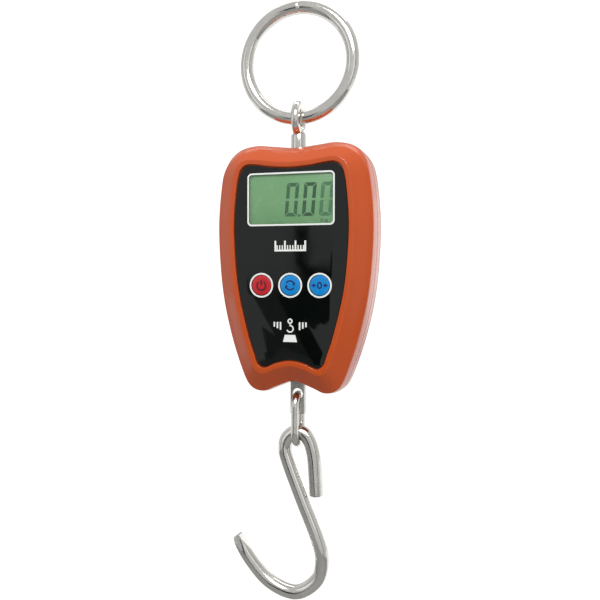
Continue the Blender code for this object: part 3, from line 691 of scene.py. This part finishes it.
def arc_sections(start, corner, end, steps):
    """Points of a quadratic round between two section points."""
    made = []
    for k in range(1, steps):
        t = k / steps
        made.append(tuple(
            (1 - t) ** 2 * a + 2 * t * (1 - t) * c + t ** 2 * b for a, c, b in zip(start, corner, end)
        ))
    return made


def front_sections():
    """From the pocket's floor out over the land and the bevel to the parting line, then inside."""
    edge = 0.032
    outer = [(1.0, FLOOR_Y), (1.0, LAND_Y + 0.35)]
    outer += arc_sections((1.0, LAND_Y + 0.35), (1.0, LAND_Y), (1.0 - edge, LAND_Y), 4)
    outer += [(1.0 - edge, LAND_Y), (0.815, LAND_Y)]
    outer += arc_sections((0.815, LAND_Y), (0.79, LAND_Y), (0.765, -0.46), 3)
    outer += [(0.765, -0.46), (0.43, 2.67)]
    brow = [
        (0.098, 5.74, 0.25, 4.36), (0.080, 5.86, 0.242, 4.5), (0.069, 6.08, 0.20, 5.25),
        (0.060, 6.6, 0.135, 6.45), (0.048, 7.6, 0.065, 7.8), (0.035, 8.9, 0.03, 9.2),
    ]
    outer += brow
    outer += [(0.022, 10.2, 0.016, 10.2), (0.010, 11.6, 0.008, 11.6), (0.0, PARTING_Y - 0.45)]
    outer += arc_sections((0.0, PARTING_Y - 0.45), (0.0, PARTING_Y - 0.15), (0.03, PARTING_Y - 0.15), 3)
    outer += [(0.03, PARTING_Y - 0.15), (0.18, PARTING_Y - 0.15)]
    return outer + [(0.18, 8.8), (0.27, 6.9), (0.9, 2.5)]


def window_cutter(grow, y_front, y_back):
    low_z, high_z = WINDOW_Z
    outline = rounded_rectangle(WINDOW_HALF_WIDTH + grow, low_z - grow, high_z + grow, WINDOW_CORNER + grow)
    return slab_mesh("window_cutter", outline, y_front, y_back)


def load_line_cutters():
    plate_low, plate_high = design_box("hook_plate")
    bm = bmesh.new()
    add_box(bm, (plate_low.x - 0.4, plate_low.y - 0.4, -60), (plate_high.x + 0.4, plate_high.y + 0.4, -40))
    return [
        finish_mesh(bm, "plate_slot"),
        rod_mesh((0, LOAD_Y, 50), (0, LOAD_Y, 80), 4.05),
    ]


def build_front_shell():
    mesh = loft_mesh("front_skin", front_sections())
    low, high = design_box("lcd_glass")
    opening = rounded_rectangle(high.x + 0.4, low.z - 0.4, high.z + 0.4, 1.0)
    cutters = load_line_cutters() + [slab_mesh("display_opening", opening, -3.0, 4.0)]
    for x in BUTTON_X.values():
        cutters.append(rod_mesh((x, -2, 0), (x, 3.5, 0), BUTTON_RADIUS + 0.5))
    mesh = boolean(mesh, cutters)
    soften(mesh, 20)
    piece("front_skin", mesh, ORANGE, "case", "shell_orange", "front_shell")


def rear_sections():
    outer = [(0.50, BACK_Y), (0.40, BACK_Y)]
    outer += arc_sections((0.40, BACK_Y), (0.05, BACK_Y), (0.0, 22.0), 12)
    outer += [(0.0, 22.0), (0.0, 18.0), (0.0, PARTING_Y + 0.45)]
    outer += arc_sections((0.0, PARTING_Y + 0.45), (0.0, PARTING_Y + 0.15), (0.03, PARTING_Y + 0.15), 3)
    outer += [(0.03, PARTING_Y + 0.15), (0.21, PARTING_Y + 0.15)]
    lining = [(0.21, PARTING_Y - 1.5), (0.29, PARTING_Y - 1.5), (0.29, PARTING_Y + 2.5),
              (0.2, PARTING_Y + 4.0)]
    return outer + lining + [(0.2, 22.5), (0.28, 25.6), (0.46, 27.4)]


def build_rear_shell():
    """The rear shell with its battery bay, door rebate, thumb notch and screw wells."""
    door_low, door_high = design_box("battery_door")
    mesh = loft_mesh("rear_skin", rear_sections())
    posts = bmesh.new()
    bay_half, bay_wall = 25.2, 1.2
    bay_low, bay_high = -8.4, 16.4
    bay_front, bay_floor, bay_back = 15.7, 16.9, 28.6
    clear_y, door_gap, hinge_gap = 32, 0.3, 0.5
    well_floor, well_radius = 18.3, 2.9
    add_box(posts, (-bay_half - bay_wall, bay_front, bay_low - bay_wall),
            (bay_half + bay_wall, bay_back, bay_high + bay_wall))
    mesh = boolean(mesh, [finish_mesh(posts, "bay_walls")], "UNION")
    cuts = load_line_cutters()
    inside = bmesh.new()
    add_box(inside, (-bay_half, bay_floor, bay_low), (bay_half, clear_y, bay_high))
    cuts.append(finish_mesh(inside, "bay_inside"))
    rebate = bmesh.new()
    add_box(rebate, (door_low.x - door_gap, door_low.y - door_gap, door_low.z - door_gap),
            (door_high.x + door_gap, clear_y, door_high.z + hinge_gap))
    cuts.append(finish_mesh(rebate, "door_rebate"))
    cuts.append(slab_mesh("thumb_notch", circle(0, door_low.z - 0.6, 4.5), BACK_Y - 1.1, BACK_Y + 2))
    for index in range(1, 5):
        at = design(node_centre(f"case_screw_{index}"))
        cuts.append(rod_mesh((at.x, well_floor, at.z), (at.x, BACK_Y + 3, at.z), well_radius))
        cuts.append(rod_mesh((at.x, BACK_Y - 0.4, at.z), (at.x, BACK_Y + 0.2, at.z), 2.8, end_radius=3.5))
    mesh = boolean(mesh, cuts)
    soften(mesh, 24)
    piece("rear_skin", mesh, ORANGE, "case", "shell_orange", "rear_shell")


def build_door():
    """A flat door with a rounded rim and five thumb grooves."""
    low, high = design_box("battery_door")
    bm = bmesh.new()
    add_box(bm, tuple(low), tuple(high))
    rim = [edge for edge in bm.edges if all(design(v.co).y > high.y - 0.01 for v in edge.verts)]
    bmesh.ops.bevel(bm, geom=rim, offset=0.3 * MM, segments=3, affect="EDGES", profile=0.5)
    grooves = []
    for k in range(5):
        z = low.z + 3.0 + 1.3 * k
        half = 7.5 - 0.9 * k
        groove = bmesh.new()
        add_rod(groove, (-half, high.y + 0.25, z), (half, high.y + 0.25, z), 0.55, segments=16)
        grooves.append(finish_mesh(groove, "groove"))
    mesh = boolean(finish_mesh(bm, "door_skin"), grooves)
    soften(mesh, 30)
    piece("door_skin", mesh, ORANGE, "door", "shell_orange", "battery_door")


def build_case_screws():
    """Cross-headed screws at the bottom of their wells."""
    for index in range(1, 5):
        name = f"case_screw_{index}"
        low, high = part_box(name)
        at = design((low + high) / 2)
        seat = design(high).y
        profile = [
            (0.001, 0.0), (1.3, -0.02), (1.9, -0.15), (2.35, -0.45), (2.5, -0.8), (2.5, -1.4), (1.0, -1.4),
            (1.0, -14.0), (0.3, -14.6), (0.001, -14.6),
        ]
        mesh = revolve_mesh(name, profile, (at.x, seat, at.z), (0, 1, 0), steps=36)
        cross = []
        for wide, tall in ((1.5, 0.32), (0.32, 1.5)):
            bm = bmesh.new()
            add_box(bm, (at.x - wide, seat - 1.0, at.z - tall), (at.x + wide, seat + 1, at.z + tall))
            cross.append(finish_mesh(bm, "cross"))
        mesh = boolean(mesh, cross)
        soften(mesh, 30)
        piece(f"screw_head_{index}", mesh, NICKEL, "case", "nickel", name)


# ---------------------------------------------------------------- front panel and display

PRINT_Y = -0.02
PRINT_BACK_Y = 0.03


def build_panel():
    outline = [(x * 0.988, 10 + (z - 10) * 0.988) for x, z in POCKET]
    thickness = design(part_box("front_panel")[1]).y
    mesh = slab_mesh("panel_plate", outline, 0.0, thickness, edge=0.18)
    cutters = [window_cutter(0.0, -3.0, 3.0)]
    for x in BUTTON_X.values():
        cutters.append(rod_mesh((x, -2, 0), (x, 3, 0), BUTTON_RADIUS + 0.25, segments=72))
    mesh = boolean(mesh, cutters)
    soften(mesh, 24)
    piece("panel_plate", mesh, BLACK, "case", "panel_black", "front_panel")


def printed_outline(name, outline, material, body="case", slot="panel_black", front=PRINT_Y,
                    back=PRINT_BACK_Y):
    return piece(name, slab_mesh(name, outline, front, back), material, body, slot)


def build_white_frames():
    """The printed white lines round the window and round each button."""
    low_z, high_z = WINDOW_Z
    line = 0.75
    outer = rounded_rectangle(WINDOW_HALF_WIDTH + line, low_z - line, high_z + line, WINDOW_CORNER + line)
    inner = rounded_rectangle(WINDOW_HALF_WIDTH - 0.02, low_z + 0.02, high_z - 0.02, WINDOW_CORNER)
    piece("window_line", band_mesh("window_line", outer, inner, PRINT_Y, PRINT_BACK_Y), WHITE_PRINT,
          "case", "panel_black")
    for name, x in BUTTON_X.items():
        band = band_mesh(f"button_line_{name}", circle(x, 0, BUTTON_RADIUS + 1.05, 72),
                         circle(x, 0, BUTTON_RADIUS + 0.27, 72), PRINT_Y, PRINT_BACK_Y)
        piece(f"button_line_{name}", band, WHITE_PRINT, "case", "panel_black")


def build_window_and_lcd():
    low_z, high_z = WINDOW_Z
    thickness = design(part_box("front_panel")[1]).y
    pane = rounded_rectangle(WINDOW_HALF_WIDTH - 0.1, low_z + 0.1, high_z - 0.1, WINDOW_CORNER - 0.1)
    piece("window_pane", slab_mesh("window_pane", pane, 0.02, thickness, edge=0.06), CLEAR,
          "case", "window_clear", "display_window")
    low, high = design_box("lcd_glass")
    bm = bmesh.new()
    add_box(bm, (low.x, low.y, low.z), (high.x, high.y, high.z))
    bmesh.ops.bevel(bm, geom=list(bm.edges), offset=0.12 * MM, segments=2, affect="EDGES", profile=0.5)
    piece("lcd_cell", finish_mesh(bm, "lcd_cell"), GREEN, "case", "lcd_green", "lcd_glass")
    return low.y


def digit_bars(left, bottom, width, height, bar, slant):
    """Six bars of a seven-segment nought, as outlines (x, z)."""
    gap = 0.3
    half = height / 2

    def lean(points):
        return [(left + x + z * slant, bottom + z) for x, z in points]

    bars = [
        [(gap, 0), (width - gap, 0), (width - bar - gap / 2, bar), (bar + gap / 2, bar)],
        [(bar + gap / 2, height - bar), (width - bar - gap / 2, height - bar), (width - gap, height),
         (gap, height)],
    ]
    for near, sign in ((0.0, 1.0), (width, -1.0)):
        for start, end, flip in ((gap, half - 0.5, False), (height - gap, half + 0.5, True)):
            lift = -bar if flip else bar
            bars.append([
                (near, start), (near + sign * bar, start + lift), (near + sign * bar, end), (near, end),
            ])
    return [lean(points) for points in bars]


def build_digits(lcd_front):
    """Three leaning noughts with a point after the first, and the unit, as on the lit display."""
    front, back = lcd_front - 0.05, lcd_front - 0.01
    looks = [(-3.1, SEGMENT_MIDDLE), (5.2, SEGMENT_DARK), (13.3, SEGMENT_FAINT)]
    for index, (left, material) in enumerate(looks, 1):
        for part, bar in enumerate(digit_bars(left, 31.8, 5.9, 15.4, 1.65, 0.085), 1):
            printed_outline(f"digit_{index}_{part}", bar, material, slot="lcd_green", front=front, back=back)
    printed_outline("decimal_point", circle(4.0, 32.2, 0.62, 24), SEGMENT_MIDDLE, slot="lcd_green",
                    front=front, back=back)
    strokes = {
        "unit_k_stem": [(14.2, 28.9), (14.5, 28.9), (14.6, 30.9), (14.3, 30.9)],
        "unit_k_arm": [(14.6, 29.75), (15.3, 30.4), (15.6, 30.4), (14.75, 29.6)],
        "unit_k_leg": [(14.9, 29.8), (15.1, 29.95), (15.75, 28.9), (15.4, 28.9)],
    }
    for name, outline in strokes.items():
        printed_outline(name, outline, SEGMENT_DARK, slot="lcd_green", front=front, back=back)
    rim, hollow = (circle(16.75, 29.65, radius, 24) for radius in (0.62, 0.36))
    ring = band_mesh("unit_g_bowl", rim, hollow, front, back)
    piece("unit_g_bowl", ring, SEGMENT_DARK, "case", "lcd_green")
    tail = [(17.18, 30.3), (17.42, 30.3), (17.36, 28.7), (16.95, 28.35), (16.3, 28.4), (16.3, 28.62),
            (16.9, 28.62), (17.12, 28.85)]
    printed_outline("unit_g_tail", tail, SEGMENT_DARK, slot="lcd_green", front=front, back=back)


def stroke(points, width):
    """The outline of a flat line of even width through points (x, z)."""
    left, right = [], []
    for i, point in enumerate(points):
        before = points[max(i - 1, 0)]
        after = points[min(i + 1, len(points) - 1)]
        along = Vector((after[0] - before[0], after[1] - before[1])).normalized()
        left.append((point[0] - along.y * width / 2, point[1] + along.x * width / 2))
        right.append((point[0] + along.y * width / 2, point[1] - along.x * width / 2))
    return left + right[::-1]


def arc_points(x, z, radius, start, end, steps=20):
    made = []
    for k in range(steps + 1):
        angle = math.radians(start + (end - start) * k / steps)
        made.append((x + radius * math.cos(angle), z + radius * math.sin(angle)))
    return made


def build_graduations():
    """A short ruled scale in place of any name, below the display."""
    left, right, base = -7.6, 7.6, 15.7
    printed_outline("rule_base", [(left, base), (right, base), (right, base + 0.85), (left, base + 0.85)],
                    WHITE_PRINT)
    count = 13
    for k in range(count):
        x = left + (right - left) * k / (count - 1)
        tall = 4.9 if k % 4 == 0 else 2.8
        thick = 0.85 if k % 4 == 0 else 0.6
        x = min(max(x, left + thick / 2), right - thick / 2)
        printed_outline(
            f"rule_mark_{k + 1}",
            [(x - thick / 2, base + 0.9), (x + thick / 2, base + 0.9), (x + thick / 2, base + tall),
             (x - thick / 2, base + tall)], WHITE_PRINT,
        )


def build_load_sign():
    """A plain sign of a hook above a load, in place of any words, low on the panel."""
    rim, hollow = (circle(0, -16.55, radius, 32) for radius in (1.25, 0.6))
    eye = band_mesh("sign_eye", rim, hollow, PRINT_Y, PRINT_BACK_Y)
    piece("sign_eye", eye, WHITE_PRINT, "case", "panel_black")
    hook = [(0, -17.85), (0, -18.6)] + arc_points(0, -20.1, 1.5, 90, -160, 24)
    printed_outline("sign_hook", stroke(hook, 0.62), WHITE_PRINT)
    load = [(-3.4, -26.2), (3.4, -26.2), (2.5, -22.9), (-2.5, -22.9)]
    printed_outline("sign_load", load, WHITE_PRINT)
    for side in (-1, 1):
        for k in range(3):
            x = side * (4.6 + 1.5 * k)
            half = 0.38
            low = -20.6 + 0.7 * k
            bar = [(x - half, low), (x + half, low), (x + half, -17.0), (x - half, -17.0)]
            printed_outline(f"sign_bar_{'left' if side < 0 else 'right'}_{k + 1}", bar, WHITE_PRINT)


def build_buttons():
    """Soft-domed caps, each with a plain printed sign."""
    for name, x in BUTTON_X.items():
        material = RED_CAP if name == "power" else BLUE_CAP
        slot = "button_red" if name == "power" else "button_blue"
        radius = BUTTON_RADIUS
        profile = [(0.001, 0.15), (1.5, 0.148), (2.8, 0.135), (3.7, 0.105), (4.25, 0.055), (4.52, -0.03),
                   (4.66, -0.16), (radius, -0.35), (radius, -2.8), (radius + 1.0, -2.8), (radius + 1.0, -3.3),
                   (2.0, -3.3), (2.0, -3.5), (0.001, -3.5)]
        mesh = revolve_mesh(f"cap_{name}", profile, (x, 0, 0), (0, -1, 0), steps=72, angle=24.0)
        piece(f"cap_{name}", mesh, material, f"{name}_cap", slot, f"button_{name}")
    front, back = -0.175, -0.1

    def sign(label, outline, name):
        material = RED_ICON if name == "power" else BLUE_ICON
        slot = "button_red" if name == "power" else "button_blue"
        printed_outline(label, outline, material, f"{name}_cap", slot, front, back)

    x = BUTTON_X["power"]
    sign("power_arc", stroke(arc_points(x, -0.2, 2.1, 125, 415, 28), 0.72), "power")
    sign("power_bar", [(x - 0.36, 0.0), (x + 0.36, 0.0), (x + 0.36, 2.55), (x - 0.36, 2.55)], "power")
    x = BUTTON_X["mode"]
    for part, turn in enumerate((0, 180), 1):
        sign(f"mode_arc_{part}", stroke(arc_points(x, 0, 2.05, turn + 28, turn + 150, 16), 0.7), "mode")
        tip = math.radians(turn + 12)
        points = []
        for spoke, along in ((1.15, 0.3), (2.95, 0.3), (2.05, -0.42)):
            angle = tip + along
            points.append((x + spoke * math.cos(angle), spoke * math.sin(angle)))
        sign(f"mode_head_{part}", points, "mode")
    x = BUTTON_X["tare"]
    ring = band_mesh("tare_ring", [(px, pz * 1.3) for px, pz in circle(x, 0, 1.25, 32)],
                     [(px, pz * 1.4) for px, pz in circle(x, 0, 0.62, 32)], front, back)
    piece("tare_ring", ring, BLUE_ICON, "tare_cap", "button_blue")
    for label, side in (("left", -1), ("right", 1)):
        corners = ((3.75, -0.32), (2.9, -0.32), (2.9, 0.32), (3.75, 0.32))
        shaft = [(x + side * reach, lift) for reach, lift in corners]
        sign(f"tare_shaft_{label}", shaft, "tare")
        head = [(x + side * 2.95, -1.0), (x + side * 1.65, 0.0), (x + side * 2.95, 1.0)]
        sign(f"tare_head_{label}", head, "tare")


# ---------------------------------------------------------------- studio

WORLD_LEVEL = 0.64
BACKDROP_LEVEL = 1.15
DIM_LEVEL = 0.5
CEILING_LEVEL = 2.2
CORNER_LEVEL = 1.25
SIDE_LEVEL = 1.7
SOFTBOX_LEVEL = 1.0
KEY_POWER = 9.0
TOP_POWER = 7.0


CAMERA_AT = (94.48, -317.08, 1.07)
CAMERA_TURN = (88.645, -0.137, 15.803)
LENS = 43.0


def build_camera():
    data = bpy.data.cameras.new("camera")
    data.sensor_width = 36.0
    data.lens = LENS
    data.clip_start = 0.01
    made = bpy.data.objects.new("camera", data)
    bpy.context.scene.collection.objects.link(made)
    made.location = world(*CAMERA_AT)
    made.rotation_euler = [math.radians(a) for a in CAMERA_TURN]
    bpy.context.scene.camera = made


def stage_plane(name, size, location, rotation, colour):
    mesh = bpy.data.meshes.new(name)
    half_x, half_y = size[0] / 2, size[1] / 2
    mesh.from_pydata(
        [(-half_x, -half_y, 0), (half_x, -half_y, 0), (half_x, half_y, 0), (-half_x, half_y, 0)], [],
        [(0, 1, 2, 3)],
    )
    made = bpy.data.objects.new(name, mesh)
    bpy.context.scene.collection.objects.link(made)
    made.location = location
    made.rotation_euler = rotation
    mesh.materials.append(new_material(name, colour, 0.9))
    return made


def area_light(name, location, target, size, power):
    data = bpy.data.lights.new(name, "AREA")
    data.shape = "RECTANGLE"
    data.size, data.size_y = size
    data.energy = power
    made = bpy.data.objects.new(name, data)
    bpy.context.scene.collection.objects.link(made)
    made.location = location
    made.rotation_euler = (Vector(target) - Vector(location)).to_track_quat("-Z", "Y").to_euler()
    made.visible_camera = False
    return made


def glowing(name, size, location, rotation, strength, seen=True):
    """A large lit surface of the studio. If it isn't seen, it only lights and is reflected."""
    made = stage_plane(name, size, location, rotation, (0.02, 0.02, 0.02))
    shader = shader_of(made.data.materials[0])
    shader.inputs["Emission Color"].default_value = (1.0, 1.0, 1.0, 1.0)
    shader.inputs["Emission Strength"].default_value = strength
    made.visible_camera = seen


def build_studio():
    """A bright backdrop, a softer room in front, and black flags for the dark reflections."""
    bpy.context.scene.view_settings.view_transform = "Standard"
    surroundings = bpy.data.worlds.new("grey_studio")
    surroundings.use_nodes = True
    surroundings.node_tree.nodes["Background"].inputs["Color"].default_value = (1.0, 1.0, 1.0, 1.0)
    surroundings.node_tree.nodes["Background"].inputs["Strength"].default_value = WORLD_LEVEL
    bpy.context.scene.world = surroundings
    middle = (CAD_BOX[0] + CAD_BOX[1]) / 2
    floor_z = CAD_BOX[0].z - 0.34
    stage_plane("floor", (7.0, 7.0), (0, 0, floor_z), (0, 0, 0), (0.92, 0.92, 0.92))
    glowing("far_floor", (7.0, 1.9), (0, 1.3, floor_z + 0.01), (0, 0, 0), 1.05)
    upright = math.radians(90)
    glowing("backdrop", (7.0, 5.0), (0, 2.2, floor_z + 2.5), (upright, 0, 0), BACKDROP_LEVEL)
    for name, at, turn in (("softbox_left", (-0.85, -0.75, middle.z + 0.25), 48),
                           ("softbox_right", (0.95, -1.0, middle.z + 0.30), -42)):
        glowing(name, (0.42, 0.75), at, (upright, 0, math.radians(-turn)), SOFTBOX_LEVEL, seen=False)
    glowing("dim_backdrop", (5.0, 3.6), (0, 2.12, floor_z + 1.8), (upright, 0, 0), DIM_LEVEL, seen=False)
    near_x, far_x = -0.349, -0.62
    mid_x = (near_x + far_x) / 2
    flags = [
        ("dark_flag_low", 0.01, (0.24, 0.66), (near_x + 0.12, -1.25, -0.42), (upright, 0, 0)),
        ("dark_flag_floor", 0.01, (0.30, 0.56), (near_x + 0.09, -1.255, -0.47), (upright, 0, 0)),
        ("dark_flag_slit", 0.01, (0.032, 0.24), (near_x + 0.005, -1.26, 0.03), (upright, 0, 0)),
        ("grey_flag_left", 0.2, (near_x - far_x, 0.62), (mid_x, -1.27, -0.44), (upright, 0, 0)),
        ("grey_flag_below", 0.30, (2.4, 1.5), (0, -0.5, floor_z + 0.05), (0, 0, 0)),
        ("dark_flag_left", 0.01, (0.10, 1.4), (-0.95, -0.45, middle.z), (upright, 0, math.radians(-66))),
        ("dark_flag_right", 0.01, (0.12, 1.4), (1.0, -0.55, middle.z), (upright, 0, math.radians(60))),
    ]
    for name, grey, size, location, rotation in flags:
        flag = stage_plane(name, size, location, rotation, (grey, grey, grey))
        flag.visible_camera = False
        flag.visible_shadow = False
    area_light("key_light", (0.35, -0.9, 0.65), middle, (0.7, 0.5), KEY_POWER)
    glowing("bright_ceiling", (1.6, 0.9), (0, 0.75, 1.4), (math.radians(20), 0, 0), CEILING_LEVEL, seen=False)
    glowing("bright_corner_right", (1.45, 2.2), (0.98, 2.05, middle.z + 0.2), (upright, 0, 0), CORNER_LEVEL,
            seen=False)
    glowing("bright_side_right", (1.15, 0.72), (0.88, 2.03, BUTTON_ROW + 0.02), (upright, 0, 0), SIDE_LEVEL,
            seen=False)
    top = area_light("top_light", (0.0, -0.1, 1.3), middle, (1.2, 1.2), TOP_POWER)
    top.visible_glossy = False


dress_cad_nodes()
build_ring()
build_eye()
build_plate()
build_link()
build_hook()
build_front_shell()
build_rear_shell()
build_door()
build_case_screws()
build_panel()
build_white_frames()
build_digits(build_window_and_lcd())
build_graduations()
build_load_sign()
build_buttons()
build_camera()
build_studio()
